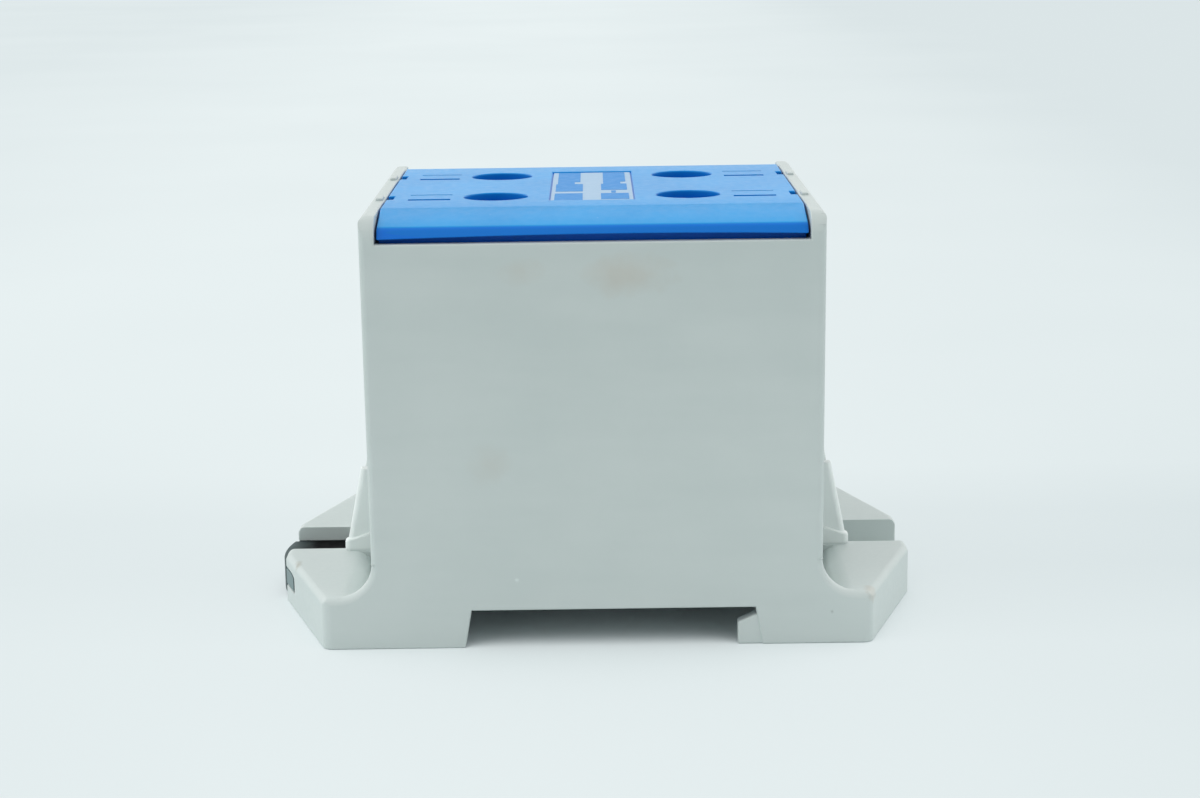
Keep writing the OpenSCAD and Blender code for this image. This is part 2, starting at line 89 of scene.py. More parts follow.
# Zones of the pieces, as lowest and highest |x|, |y| and z in millimetres
FAR = 100
EVERYWHERE = ((-1, -1, -1), (FAR, FAR, FAR))
COLLARS = ((28, -1, -1), (FAR, 7.2, 17.8))
COLLAR_CORNERS = ((30.5, 6.3, 6.3), (FAR, 7.1, FAR))
COLLAR_LIPS = ((29, -1, 6.3), (FAR, 7.3, 9.6))
WAY_FLOOR = ((-1, -1, 6.2), (FAR, 5.7, 6.8))
LID_LIPS = ((-1, 27.5, -1), (FAR, FAR, 52.9))
LID_BENDS = ((-1, 28, 52), (FAR, FAR, FAR))
LID_SLITS = ((17.5, 7.5, 53), (23.6, 15.2, FAR))
BORES = ((-1, -1, -1), (20, FAR, 36))

# Zones of the housing that are too narrow for rounded edges
TIGHT_PLACES = (
    ((28, 7.35, 2), (33, 28.7, 11)),
    ((15, 5.5, 3.9), (42, 7.1, 4.85)),
    ((27, 28.9, 10.85), (28.2, 30.1, 10.95)),
    ((27.8, 28.4, 52.3), (28.5, 30.1, 54.6)),
)

# The screwdriver's way between a collar's two cheeks: half width, taper of its sides, bottom and inner end
WAY_HALF = 5.2 * MM
WAY_TAPER = 0.1 * MM
WAY_BOTTOM = 6.55 * MM
WAY_END = 28.6 * MM

# The bow of the lid's lower edge: rise in the middle, fall at the ends, tilt, and the cuts that let it bend
LID_BOW = 0.25 * MM
LID_BOW_ENDS = 0.335 * MM
LID_TILT = 0.085 * MM
LID_HALF = 27 * MM
BOW_STEP = 6
BOW_CUTS = range(-4, 5)
LIP_INSIDE = 27.5 * MM
LIP_OUTSIDE = 29 * MM
LIP_LEVEL = 0.01 * MM

# The wall's rim below the lid, and how far it drops
RIM = 51 * MM
RIM_INSIDE = 27 * MM
RIM_DROP = 0.12 * MM

# The lid's section: half lengths where it begins to slope and to turn down, the fall of each slope, and
# what the second adds to the first
LID_FLAT = 21.9 * MM
LID_LIP = 28.5 * MM
LID_FALL = 1.6 / 6.6
LIP_FALL = 1.2
LIP_FALL_ADDED = LIP_FALL - LID_FALL

# Clamp screws: the thread's crest and its start below the tip in pitches, the tip in shares of the radius
THREAD_PITCH = 1.5 * MM
THREAD_DEPTH = 0.72 * MM
THREAD_CREST = (0.42, 0.58)
THREAD_LEAD = 1.5
THREAD_STEPS = 40
SCREW_TIP = 0.75
SCREW_CHAMFER = 0.8 * MM
SOCKET_RADIUS = 6 / math.sqrt(3) * MM
SOCKET_LEAD = 0.35 * MM
SOCKET_DEPTH = 5.4 * MM
DRILL_CONE = 0.9 * MM

# Tapped holes of the connector: |x| and |y| of their middles, and how far round them the thread reaches
TAPPED_X = 12.3 * MM
TAPPED_Y = 11.35 * MM
TAPPED_REACH = 6.3 * MM

# Return spring: the closed turns' pitch is in wire radii
WIRE_RADIUS = 0.25 * MM
WIRE_SIDES = 10
SPRING_STEPS = 28
ACTIVE_TURNS = 5
CLOSED_PITCH = 2.1

# Label on the lid: a printed field and two columns of plain bars, as x0, x1, y0, y1 in millimetres
PANEL_WIDTH = 10.8 * MM
PANEL_LENGTH = 32 * MM
PANEL_DEPTH = 0.3 * MM
FIELD_MARGIN = 0.15 * MM
FIELD_THICKNESS = 0.14 * MM
FIELD_CORNER = 0.3 * MM
BAR_THICKNESS = 0.03 * MM
BAR_CORNER = 0.15 * MM
BARS = (
    (-4.8, -1.2, -15.2, -8.0),
    (-4.75, -1.2, -5.8, 2.2),
    (-4.55, -2.3, 2.2, 4.6),
    (-4.55, -1.55, 4.6, 15.6),
    (1.15, 4.75, -14.4, -8.2),
    (2.5, 3.1, -7.6, -5.4),
    (1.2, 4.6, -4.6, 2.2),
    (1.5, 3.8, 2.2, 4.6),
    (1.5, 4.5, 4.6, 15.4),
)

# Colours, as red, green and blue from 0 to 255
# The housing's grey at the top and at the bottom, each as a darker and a lighter grain; the paler bottom is
# painted light
GREY_HIGH = ((184, 195, 193), (190, 200, 198))
GREY_LOW_PAINTED_LIGHT = ((193, 204, 202), (199, 209, 207))
# Paler on the collars' cheeks and in the ears' pockets as painted light, darker in the rail notch as
# painted shade
GREY_CHEEK_PAINTED_LIGHT = (228, 236, 234)
GREY_NOTCH_PAINTED_SHADE = (180, 189, 190)
GREY_POCKET_PAINTED_LIGHT = (222, 230, 228)
STAIN = (176, 160, 138)
RUST = (140, 136, 116)
PALE_MARK = (214, 224, 222)
DARK_MARK = (120, 130, 130)
BLUE = (8, 147, 214)
BLUE_DEEP = (4, 142, 210)
BLUE_LIGHT = (14, 152, 219)
# Painted shade: darker blue on the lid's lips, and deeper blue in its holes, slits and gaps
BLUE_LIP_PAINTED_SHADE = (2, 108, 196)
BLUE_SHADE = (4, 100, 206)
BLUE_SCUFF = (96, 166, 224)
BLACK = (7, 8, 8)
BLACK_WORN = (32, 38, 39)
# Paler grey at the latch's gripped end: rubbed wear and painted sheen
BLACK_RUBBED_AND_SHEEN = (128, 145, 146)
TIN = (206, 208, 210)
TIN_DULL = (186, 189, 192)
STEEL = (178, 180, 184)
STEEL_DULL = (150, 153, 158)
LABEL_FIELD = (156, 186, 211)
LABEL_FIELD_WORN = (170, 196, 218)
LABEL_BAR = (34, 133, 204)
LABEL_BAR_WORN = (88, 156, 212)
FLOOR = (230, 239, 240)
# The floor's painted shade and shadow
FLOOR_SHADE = (216, 226, 228)

# Marks: place and radius in millimetres, colour, strength, and the stretch of each axis
EVEN = (1, 1, 1)
HOUSING_MARKS = (
    ((3.9, -30, 46.8), 4.2, STAIN, 0.27, (0.75, 1, 1.5)),
    ((-8.9, -30, 47.4), 2.6, STAIN, 0.14, (0.7, 1, 1.4)),
    ((-12.9, -30, 23.5), 3.0, STAIN, 0.12, EVEN),
    ((-10.0, -30, 8.7), 0.34, PALE_MARK, 0.8, EVEN),
    ((29.2, -30, 4.1), 0.26, DARK_MARK, 0.4, EVEN),
    ((-39.2, -13.1, 6.35), 1.0, RUST, 0.5, (1.6, 0.6, 0.8)),
    ((34.2, -28.4, 6.3), 1.3, STAIN, 0.4, (1.1, 0.6, 0.8)),
)
LID_MARKS = (
    ((-0.6, -29.5, 51.8), 0.3, BLUE_SCUFF, 0.8, (0.5, 1, 1)),
    ((0.7, -26.0, 53.3), 0.22, BLUE_SCUFF, 0.8, EVEN),
    ((-12.5, -24.4, 53.7), 0.2, BLUE_SCUFF, 0.6, EVEN),
)
MARK_GRAIN = 900

# Painted light and shade on the housing, paler on the cheeks and in the pockets and darker in the rail
# notch, and paler towards the bottom: the |x|, |y| and z at which they begin or end, or between which they
# grow
PAINTED_LIGHT_LOW_Z = (50 * MM, 5 * MM)
CHEEK_REACH = (28.5 * MM, 29 * MM)
CHEEK_SIDE = 7.2 * MM
CHEEK_Z = (6.5 * MM, 6.9 * MM)
POCKET_REACH = (32.3 * MM, 30.5 * MM)
POCKET_SIDE = (9 * MM, 15 * MM)
POCKET_SIDE_END = 28.7 * MM
POCKET_BOTTOM = 3 * MM
POCKET_TOP = 6.6 * MM
NOTCH_REACH = 20 * MM
NOTCH_SIDE = 29.3 * MM
NOTCH_TOP = 4.9 * MM

# Painted shade on the lid: the |y| of its lips, and the depths at which its holes and slits begin and are
# darkest
LIP_SIDE = (28 * MM, 28.7 * MM)
SUNK_DEPTH = 0.06 * MM
DARKEST_DEPTH = 1.0 * MM

# Rubbed wear and painted sheen of the latch: x from which its outer end pales, how ragged that is, and the
# |y| of its grip's ends
RUBBED_AND_SHEEN_X = (-38.8 * MM, -42.4 * MM)
RUBBED_AND_SHEEN_RAGGED = 0.4 * MM
GRIP_SIDE = (6.5 * MM, 7.5 * MM)

# The floor: its half size, and its shade as limits in metres, in places followed by the shares at both
# ends. The shade towards the right and the corners, beside the block and in a band at its depth is painted
# shade and shadow.
FLOOR_HALF = 12
SHADE_X = (0.0, 0.2, 0.15, 0.75)
SHADE_CORNERS = (0.13, 0.33, 0.0, 0.55)
SHADE_BESIDE = (0.04, 0.14, 0.0, 0.6)
SHADE_NEAR_Y = (0.15, -0.05)
BAND_BACK_Y = (0.065, 0.035)
BAND_FRONT_Y = (-0.03, 0.005)
BAND_X = (-0.1, 0.08, 0.2, 0.4)
SHELTER_REACH = 40 * MM
SHELTER_SHARES = (0.15, 0.85, 0.0, 0.85)


def linear(colour):
    """A screen colour as linear light."""
    parts = []
    for value in colour:
        v = value / 255
        parts.append(v / 12.92 if v <= 0.04045 else ((v + 0.055) / 1.055) ** 2.4)
    return (*parts, 1.0)


class Graph:
    """A node tree, and short ways to add to it."""

    def __init__(self, tree):
        self.tree = tree
        self.nodes = tree.nodes
        self.place = self.nodes.new("ShaderNodeTexCoord").outputs["Object"]

    def link(self, source, target):
        self.tree.links.new(source, target)

    def axes(self):
        parts = self.nodes.new("ShaderNodeSeparateXYZ")
        self.link(self.place, parts.inputs["Vector"])
        return [parts.outputs[axis] for axis in "XYZ"]

    def math(self, operation, first, second=0.0):
        node = self.nodes.new("ShaderNodeMath")
        node.operation = operation
        for value, socket in ((first, node.inputs[0]), (second, node.inputs[1])):
            if isinstance(value, (int, float)):
                socket.default_value = value
            else:
                self.link(value, socket)
        return node.outputs["Value"]

    def product(self, first, *others):
        for other in others:
            first = self.math("MULTIPLY", first, other)
        return first

    def total(self, first, *others):
        for other in others:
            first = self.math("ADD", first, other)
        return first


class Surface(Graph):
    """A material under construction."""

    def __init__(self, name):
        self.material = bpy.data.materials.new(name)
        self.material.use_nodes = True
        super().__init__(self.material.node_tree)
        self.shader = self.nodes["Principled BSDF"]

    def noise(self, scale, detail=3.0, roughness=0.55, stretch=None):
        node = self.nodes.new("ShaderNodeTexNoise")
        node.inputs["Scale"].default_value = scale
        node.inputs["Detail"].default_value = detail
        node.inputs["Roughness"].default_value = roughness
        if stretch is None:
            self.link(self.place, node.inputs["Vector"])
        else:
            mapping = self.nodes.new("ShaderNodeMapping")
            mapping.inputs["Scale"].default_value = stretch
            self.link(self.place, mapping.inputs["Vector"])
            self.link(mapping.outputs["Vector"], node.inputs["Vector"])
        return node.outputs["Fac"]

    def spread(self, source, low, high, to_low=0.0, to_high=1.0):
        """A value from low to high, drawn out from to_low to to_high."""
        node = self.nodes.new("ShaderNodeMapRange")
        node.inputs["From Min"].default_value = low
        node.inputs["From Max"].default_value = high
        node.inputs["To Min"].default_value = to_low
        node.inputs["To Max"].default_value = to_high
        self.link(source, node.inputs["Value"])
        return node.outputs["Result"]

    def cloud(self, scale, detail=3.0, low=0.0, high=1.0):
        """Soft noise, drawn out from low to high."""
        return self.spread(self.noise(scale, detail), 0.3, 0.7, low, high)

    def mix(self, factor, first, second):
        """Between two colours, each a colour or a socket."""
        node = self.nodes.new("ShaderNodeMix")
        node.data_type = "RGBA"
        self.link(factor, node.inputs["Factor"])
        for value, socket in ((first, node.inputs[6]), (second, node.inputs[7])):
            if isinstance(value, tuple):
                socket.default_value = value
            else:
                self.link(value, socket)
        return node.outputs[2]

    def distance(self, centre, stretch):
        """Distance from a point in millimetres, with each axis stretched."""
        mapping = self.nodes.new("ShaderNodeMapping")
        mapping.inputs["Location"].default_value = [-c * s for c, s in zip(centre, stretch)]
        mapping.inputs["Scale"].default_value = [s / MM for s in stretch]
        self.link(self.place, mapping.inputs["Vector"])
        length = self.nodes.new("ShaderNodeVectorMath")
        length.operation = "LENGTH"
        self.link(mapping.outputs["Vector"], length.inputs[0])
        return length.outputs["Value"]

    def mark(self, ground, centre, radius, colour, strength, stretch):
        """A ragged mark laid over a colour, at a place and size in millimetres."""
        grain = self.noise(MARK_GRAIN / radius, detail=4, roughness=0.6)
        ragged = self.spread(grain, 0.2, 0.8, -0.5 * radius, 0.5 * radius)
        edge = self.total(self.distance(centre, stretch), ragged)
        cover = self.spread(edge, radius, 0.1 * radius, 0.0, strength)
        return self.mix(cover, ground, linear(colour))

    def bump(self, height, strength, distance):
        node = self.nodes.new("ShaderNodeBump")
        node.inputs["Strength"].default_value = strength
        node.inputs["Distance"].default_value = distance
        self.link(height, node.inputs["Height"])
        self.link(node.outputs["Normal"], self.shader.inputs["Normal"])

    def set(self, **values):
        for name, value in values.items():
            self.shader.inputs[name.replace("_", " ")].default_value = value

    def colour(self, socket):
        self.link(socket, self.shader.inputs["Base Color"])

    def roughness(self, socket):
        self.link(socket, self.shader.inputs["Roughness"])


def grey_moulding():
    """Light grey moulded plastic: a fine grain, faint flow marks, small stains, and painted light and shade
    by place: paler towards the bottom, on the collars' cheeks and in the ears' pockets, darker in the rail
    notch.
    """
    s = Surface("grey_moulding")
    x, y, z = s.axes()
    reach = s.math("ABSOLUTE", x)
    side = s.math("ABSOLUTE", y)
    flow = s.noise(1, detail=3, roughness=0.5, stretch=(50, 50, 300))
    streaked = s.total(s.product(s.cloud(70, detail=4), 0.6), s.spread(flow, 0.35, 0.65, 0.0, 0.4))
    # Paler towards the bottom: painted light
    low = s.spread(z, *PAINTED_LIGHT_LOW_Z)
    dark, light = (s.mix(low, linear(high), linear(deep)) for high, deep in zip(GREY_HIGH, GREY_LOW_PAINTED_LIGHT))
    ground = s.mix(streaked, dark, light)
    for mark in HOUSING_MARKS:
        ground = s.mark(ground, *mark)
    # Paler on the collars' cheeks: painted light
    cheek_painted_light = s.product(s.spread(reach, *CHEEK_REACH), s.math("LESS_THAN", side, CHEEK_SIDE),
                      s.spread(z, *CHEEK_Z))
    ground = s.mix(cheek_painted_light, ground, linear(GREY_CHEEK_PAINTED_LIGHT))
    # Paler in the ears' pockets beside the collars: painted light
    pocket_painted_light = s.product(s.spread(reach, *POCKET_REACH), s.spread(side, *POCKET_SIDE),
                       s.math("LESS_THAN", z, POCKET_TOP), s.math("GREATER_THAN", z, POCKET_BOTTOM),
                       s.math("LESS_THAN", side, POCKET_SIDE_END))
    ground = s.mix(pocket_painted_light, ground, linear(GREY_POCKET_PAINTED_LIGHT))
    # Darker in the rail notch: painted shade
    notch_painted_shade = s.product(s.math("LESS_THAN", z, NOTCH_TOP), s.math("LESS_THAN", side, NOTCH_SIDE),
                      s.math("LESS_THAN", reach, NOTCH_REACH))
    ground = s.mix(notch_painted_shade, ground, linear(GREY_NOTCH_PAINTED_SHADE))
    s.colour(ground)
    grain = s.noise(5200, detail=2, roughness=0.6)
    pores = s.noise(1500, detail=2, roughness=0.5)
    s.roughness(s.spread(pores, 0.3, 0.7, 0.46, 0.58))
    s.bump(s.total(grain, pores), strength=0.1, distance=0.04 * MM)
    s.set(IOR=1.48)
    return s.material


def blue_moulding():
    """Blue moulded plastic, a little glossier, with painted shade on its lips and in its holes, slits and
    gaps, and pale specks.
    """
    s = Surface("blue_moulding")
    _, y, z = s.axes()
    side = s.math("ABSOLUTE", y)
    ground = s.mix(s.cloud(80, detail=4), linear(BLUE_DEEP), linear(BLUE_LIGHT))
    # Darker blue on the lips: painted shade
    ground = s.mix(s.spread(side, *LIP_SIDE), ground, linear(BLUE_LIP_PAINTED_SHADE))
    # Deeper blue in holes, slits and gaps, by depth below the outer surface: painted shade
    slope = s.product(s.math("MAXIMUM", s.math("SUBTRACT", side, LID_FLAT), 0.0), LID_FALL)
    steep = s.product(s.math("MAXIMUM", s.math("SUBTRACT", side, LID_LIP), 0.0), LIP_FALL_ADDED)
    depth = s.math("SUBTRACT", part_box("lid")[1][2], s.total(slope, steep, z))
    sunk = s.math("GREATER_THAN", depth, SUNK_DEPTH)
    shade = s.product(sunk, s.spread(depth, 0.0, DARKEST_DEPTH, 0.4, 1.0))
    ground = s.mix(shade, ground, linear(BLUE_SHADE))
    scuff = s.spread(s.noise(520, detail=5, roughness=0.7), 0.66, 0.82)
    ground = s.mix(s.product(scuff, 0.3), ground, linear(BLUE))
    for mark in LID_MARKS:
        ground = s.mark(ground, *mark)
    s.colour(ground)
    s.roughness(s.cloud(900, low=0.3, high=0.38))
    s.bump(s.noise(4200, detail=2, roughness=0.6), strength=0.1, distance=0.04 * MM)
    s.set(IOR=1.5, Specular_IOR_Level=0.16)
    return s.material


def black_moulding():
    """Near-black latch plastic, paler at the end that is gripped and at the grip's ends: rubbed wear
    together with a painted sheen.
    """
    s = Surface("black_moulding")
    x, y, _ = s.axes()
    worn = s.spread(s.noise(260, detail=5, roughness=0.65), 0.55, 0.8)
    ground = s.mix(s.product(worn, 0.4), linear(BLACK), linear(BLACK_WORN))
    # Paler outer end and grip ends: rubbed wear and painted sheen
    ragged = s.spread(s.noise(700, detail=4), 0.2, 0.8, -RUBBED_AND_SHEEN_RAGGED, RUBBED_AND_SHEEN_RAGGED)
    outer_end = s.spread(s.total(x, ragged), *RUBBED_AND_SHEEN_X, 0.0, 0.5)
    grip_ends = s.spread(s.math("ABSOLUTE", y), *GRIP_SIDE)
    s.colour(s.mix(s.math("MAXIMUM", outer_end, grip_ends), ground, linear(BLACK_RUBBED_AND_SHEEN)))
    s.roughness(s.cloud(800, low=0.55, high=0.7))
    s.bump(s.noise(3600, detail=2), strength=0.12, distance=0.04 * MM)
    s.set(Specular_IOR_Level=0.05)
    return s.material


def tinned_metal():
    """Tinned block: dull silver, drawn along the bores, with the threads of the tapped holes."""
    s = Surface("tinned_metal")
    x, y, z = s.axes()
    drawn = s.noise(1, detail=5, roughness=0.6, stretch=(60, 2600, 2600))
    s.colour(s.mix(s.cloud(140, detail=4), linear(TIN_DULL), linear(TIN)))
    s.roughness(s.spread(drawn, 0.25, 0.75, 0.26, 0.44))
    across = s.math("SUBTRACT", s.math("ABSOLUTE", x), TAPPED_X)
    along = s.math("SUBTRACT", s.math("ABSOLUTE", y), TAPPED_Y)
    from_middle = s.math("SQRT", s.total(s.product(across, across), s.product(along, along)))
    tapped = s.math("LESS_THAN", from_middle, TAPPED_REACH)
    wave = s.math("SINE", s.product(z, 2 * math.pi / THREAD_PITCH))
    s.bump(s.total(s.product(drawn, 0.04), s.product(tapped, wave)), strength=0.5, distance=0.3 * MM)
    s.set(Metallic=1.0)
    return s.material


def plated_steel():
    """Zinc-plated steel of the screws and the spring."""
    s = Surface("plated_steel")
    s.colour(s.mix(s.cloud(500, detail=4), linear(STEEL_DULL), linear(STEEL)))
    s.roughness(s.cloud(1600, low=0.24, high=0.42))
    s.bump(s.noise(3000, detail=2), strength=0.1, distance=0.03 * MM)
    s.set(Metallic=1.0)
    return s.material


def printed_colour(name, colour, worn):
    """A printed field with thin places."""
    s = Surface(name)
    thin = s.spread(s.noise(900, detail=4, roughness=0.7), 0.5, 0.75)
    s.colour(s.mix(s.product(thin, 0.5), linear(colour), linear(worn)))
    s.roughness(s.cloud(700, low=0.5, high=0.62))
    s.bump(s.noise(4200, detail=2), strength=0.1, distance=0.03 * MM)
    s.set(Specular_IOR_Level=0.3)
    return s.material


def pale_floor():
    """Plain pale floor, which the camera sees as an even ground with soft shadows, some from the light and
    some painted.
    """
    s = Surface("pale_floor")
    x, y, _ = s.axes()
    reach = s.math("ABSOLUTE", x)
    # Darker beside the block, in a band at its depth, towards the corners and towards the right: painted
    # shade and shadow
    near = s.product(s.spread(y, *SHADE_NEAR_Y), s.spread(reach, *SHADE_BESIDE))
    painted_shadow_band = s.product(s.spread(y, *BAND_BACK_Y), s.spread(y, *BAND_FRONT_Y), s.spread(x, *BAND_X))
    shade = s.total(s.spread(reach, *SHADE_CORNERS), s.cloud(6, detail=2, low=-0.1, high=0.1),
                    s.spread(x, *SHADE_X), near, painted_shadow_band)
    ground = s.mix(shade, linear(FLOOR), linear(FLOOR_SHADE))
    s.colour(ground)
    s.set(Roughness=0.9)
    glow = s.nodes.new("ShaderNodeEmission")
    s.link(ground, glow.inputs["Color"])
    ray = s.nodes.new("ShaderNodeLightPath").outputs
    seen = s.math("MAXIMUM", ray["Is Glossy Ray"], ray["Is Transmission Ray"])
    seen = s.math("MAXIMUM", ray["Is Camera Ray"], seen)
    shelter = s.nodes.new("ShaderNodeAmbientOcclusion")
    shelter.inputs["Distance"].default_value = SHELTER_REACH
    blend = s.nodes.new("ShaderNodeMixShader")
    s.link(s.product(seen, s.spread(shelter.outputs["AO"], *SHELTER_SHARES)), blend.inputs["Fac"])
    s.link(s.shader.outputs["BSDF"], blend.inputs[1])
    s.link(glow.outputs["Emission"], blend.inputs[2])
    s.link(blend.outputs["Shader"], s.nodes["Material Output"].inputs["Surface"])
    return s.material


def new_piece(name, bm, material, body, slot, *replaced):
    """A finished mesh as a piece that rides on a body and stands for CAD nodes."""
    mesh = bpy.data.meshes.new(name)
    bm.to_mesh(mesh)
    bm.free()
    if "custom_normal" in mesh.attributes:
        mesh.attributes.remove(mesh.attributes["custom_normal"])
    piece = bpy.data.objects.new(name, mesh)
    bpy.context.scene.collection.objects.link(piece)
    mesh.materials.append(material)
    mesh.shade_smooth()
    mesh.set_sharp_from_angle(angle=SMOOTH_ANGLE)
    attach(piece, body)
    if replaced:
        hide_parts(*replaced)
    return piece


def keep_flats(piece):
    """Smooth shading that keeps the flat faces flat."""
    normals = piece.modifiers.new("flat_faces", "WEIGHTED_NORMAL")
    normals.keep_sharp = True


def clean_copy(node):
    """A node's mesh with its loose triangles joined and its flat faces made whole."""
    bm = bmesh.new()
    bm.from_mesh(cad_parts[node].data)
    bmesh.ops.remove_doubles(bm, verts=bm.verts, dist=WELD)
    bmesh.ops.dissolve_limit(bm, angle_limit=FLAT_ANGLE, verts=bm.verts, edges=bm.edges)
    return bm


def lies_in(zone, *verts):
    """Whether all of some vertices are in a zone."""
    low, high = zone
    return all(low[i] < abs(v.co[i]) / MM < high[i] for v in verts for i in range(3))


def edges_of(verts):
    """The edges of some vertices, each once and always in the same order."""
    return list(dict.fromkeys(e for v in verts for e in v.link_edges))


def sharp_edges(bm, within=EVERYWHERE, without=()):
    """Edges that turn outwards more than the sharp angle, in one zone and in none of some others."""
    return [e for e in bm.edges if len(e.link_faces) == 2 and e.calc_face_angle_signed() > SHARP_ANGLE
            and lies_in(within, *e.verts) and not any(lies_in(zone, *e.verts) for zone in without)]


def round_edges(bm, edges, width, segments=3):
    bmesh.ops.bevel(bm, geom=edges, offset=width, offset_type="OFFSET", segments=segments, profile=0.5,
                    affect="EDGES", clamp_overlap=False, material=-1)


def cut_across(bm, zone, places, axis):
    """Cuts through the faces that lie wholly in a zone, square to an axis."""
    for place in places:
        faces = [f for f in bm.faces if lies_in(zone, *f.verts)]
        geometry = [*dict.fromkeys(g for f in faces for g in (*f.verts, *f.edges)), *faces]
        bmesh.ops.bisect_plane(bm, geom=geometry, dist=CUT_WIDTH, plane_co=Vector(axis) * place,
                               plane_no=axis)


def open_collars(bm):
    """The way for a screwdriver down to each fixing slot, between the collar's cheeks."""
    sides = [s * (WAY_HALF - t) for s in (-1, 1) for t in (0, WAY_TAPER)]
    cut_across(bm, COLLARS, sides, (0, 1, 0))
    cut_across(bm, COLLARS, (WAY_BOTTOM, WAY_BOTTOM + WAY_TAPER), (0, 0, 1))
    for v in bm.verts:
        inside = abs(v.co.y) < WAY_HALF - WAY_TAPER / 2 and v.co.z > WAY_BOTTOM + WAY_TAPER / 2
        if inside and lies_in(COLLARS, v) and abs(v.co.x) > WAY_END:
            v.co.x = math.copysign(WAY_END, v.co.x)


def is_upright(edge):
    first, second = (v.co for v in edge.verts)
    return abs(first.z - second.z) > UPRIGHT_SHARE * (first - second).length


def housing_shell(material):
    """The grey moulding, with opened collars and softer edges on them."""
    bm = clean_copy("housing")
    rim = [v for v in bm.verts if abs(v.co.z - RIM) < SAME_HEIGHT and abs(v.co.y) > RIM_INSIDE]
    bmesh.ops.translate(bm, vec=(0, 0, -RIM_DROP), verts=rim)
    open_collars(bm)
    corners = [e for e in sharp_edges(bm, COLLAR_CORNERS) if is_upright(e)]
    round_edges(bm, corners, COLLAR_EDGE, segments=4)
    round_edges(bm, sharp_edges(bm, COLLAR_LIPS, without=(WAY_FLOOR,)), LIP_EDGE, segments=4)
    round_edges(bm, sharp_edges(bm, without=(WAY_FLOOR, *TIGHT_PLACES)), FINE_EDGE)
    keep_flats(new_piece("housing_shell", bm, material, "base", "housing", "housing"))


def bow_lip(bm):
    """The lower edge of the lid, slightly bowed as moulded."""
    edge_z = min(v.co.z for v in bm.verts if abs(v.co.y) > LIP_OUTSIDE)
    cut_across(bm, LID_LIPS, [n * BOW_STEP * MM for n in BOW_CUTS], (1, 0, 0))
    for v in bm.verts:
        if abs(v.co.y) > LIP_INSIDE and v.co.z < edge_z + LIP_LEVEL:
            part = v.co.x / LID_HALF
            lift = LID_BOW - LID_BOW_ENDS * part ** 2 + LID_TILT * part
            v.co.z += lift
            if abs(v.co.y) > LIP_OUTSIDE:
                v.co.y -= math.copysign(lift / LIP_FALL, v.co.y)


def lid_shell(material):
    """The blue moulding, with its bent lips and its screwdriver holes."""
    bm = clean_copy("lid")
    bow_lip(bm)
    round_edges(bm, sharp_edges(bm, LID_BENDS), LID_BEND, segments=4)
    round_edges(bm, sharp_edges(bm, without=(LID_SLITS,)), FINE_EDGE)
    keep_flats(new_piece("lid_shell", bm, material, "lid", "lid", "lid"))


def connector(material):
    """The metal block that the cables are clamped in."""
    bm = clean_copy("connector_block")
    round_edges(bm, sharp_edges(bm, without=(BORES,)), METAL_EDGE)
    keep_flats(new_piece("connector", bm, material, "base", "connector", "connector_block"))


def latch_slider(material):
    """The black slider that grips the rail."""
    bm = clean_copy("rail_latch")
    round_edges(bm, sharp_edges(bm), LATCH_EDGE)
    keep_flats(new_piece("latch_slider", bm, material, "latch", "latch", "rail_latch"))


def open_edges(bm, height):
    """Edges of the open rim at a height."""
    return [e for e in bm.edges if e.is_boundary
            and all(abs(v.co.z - height) < SAME_HEIGHT for v in e.verts)]


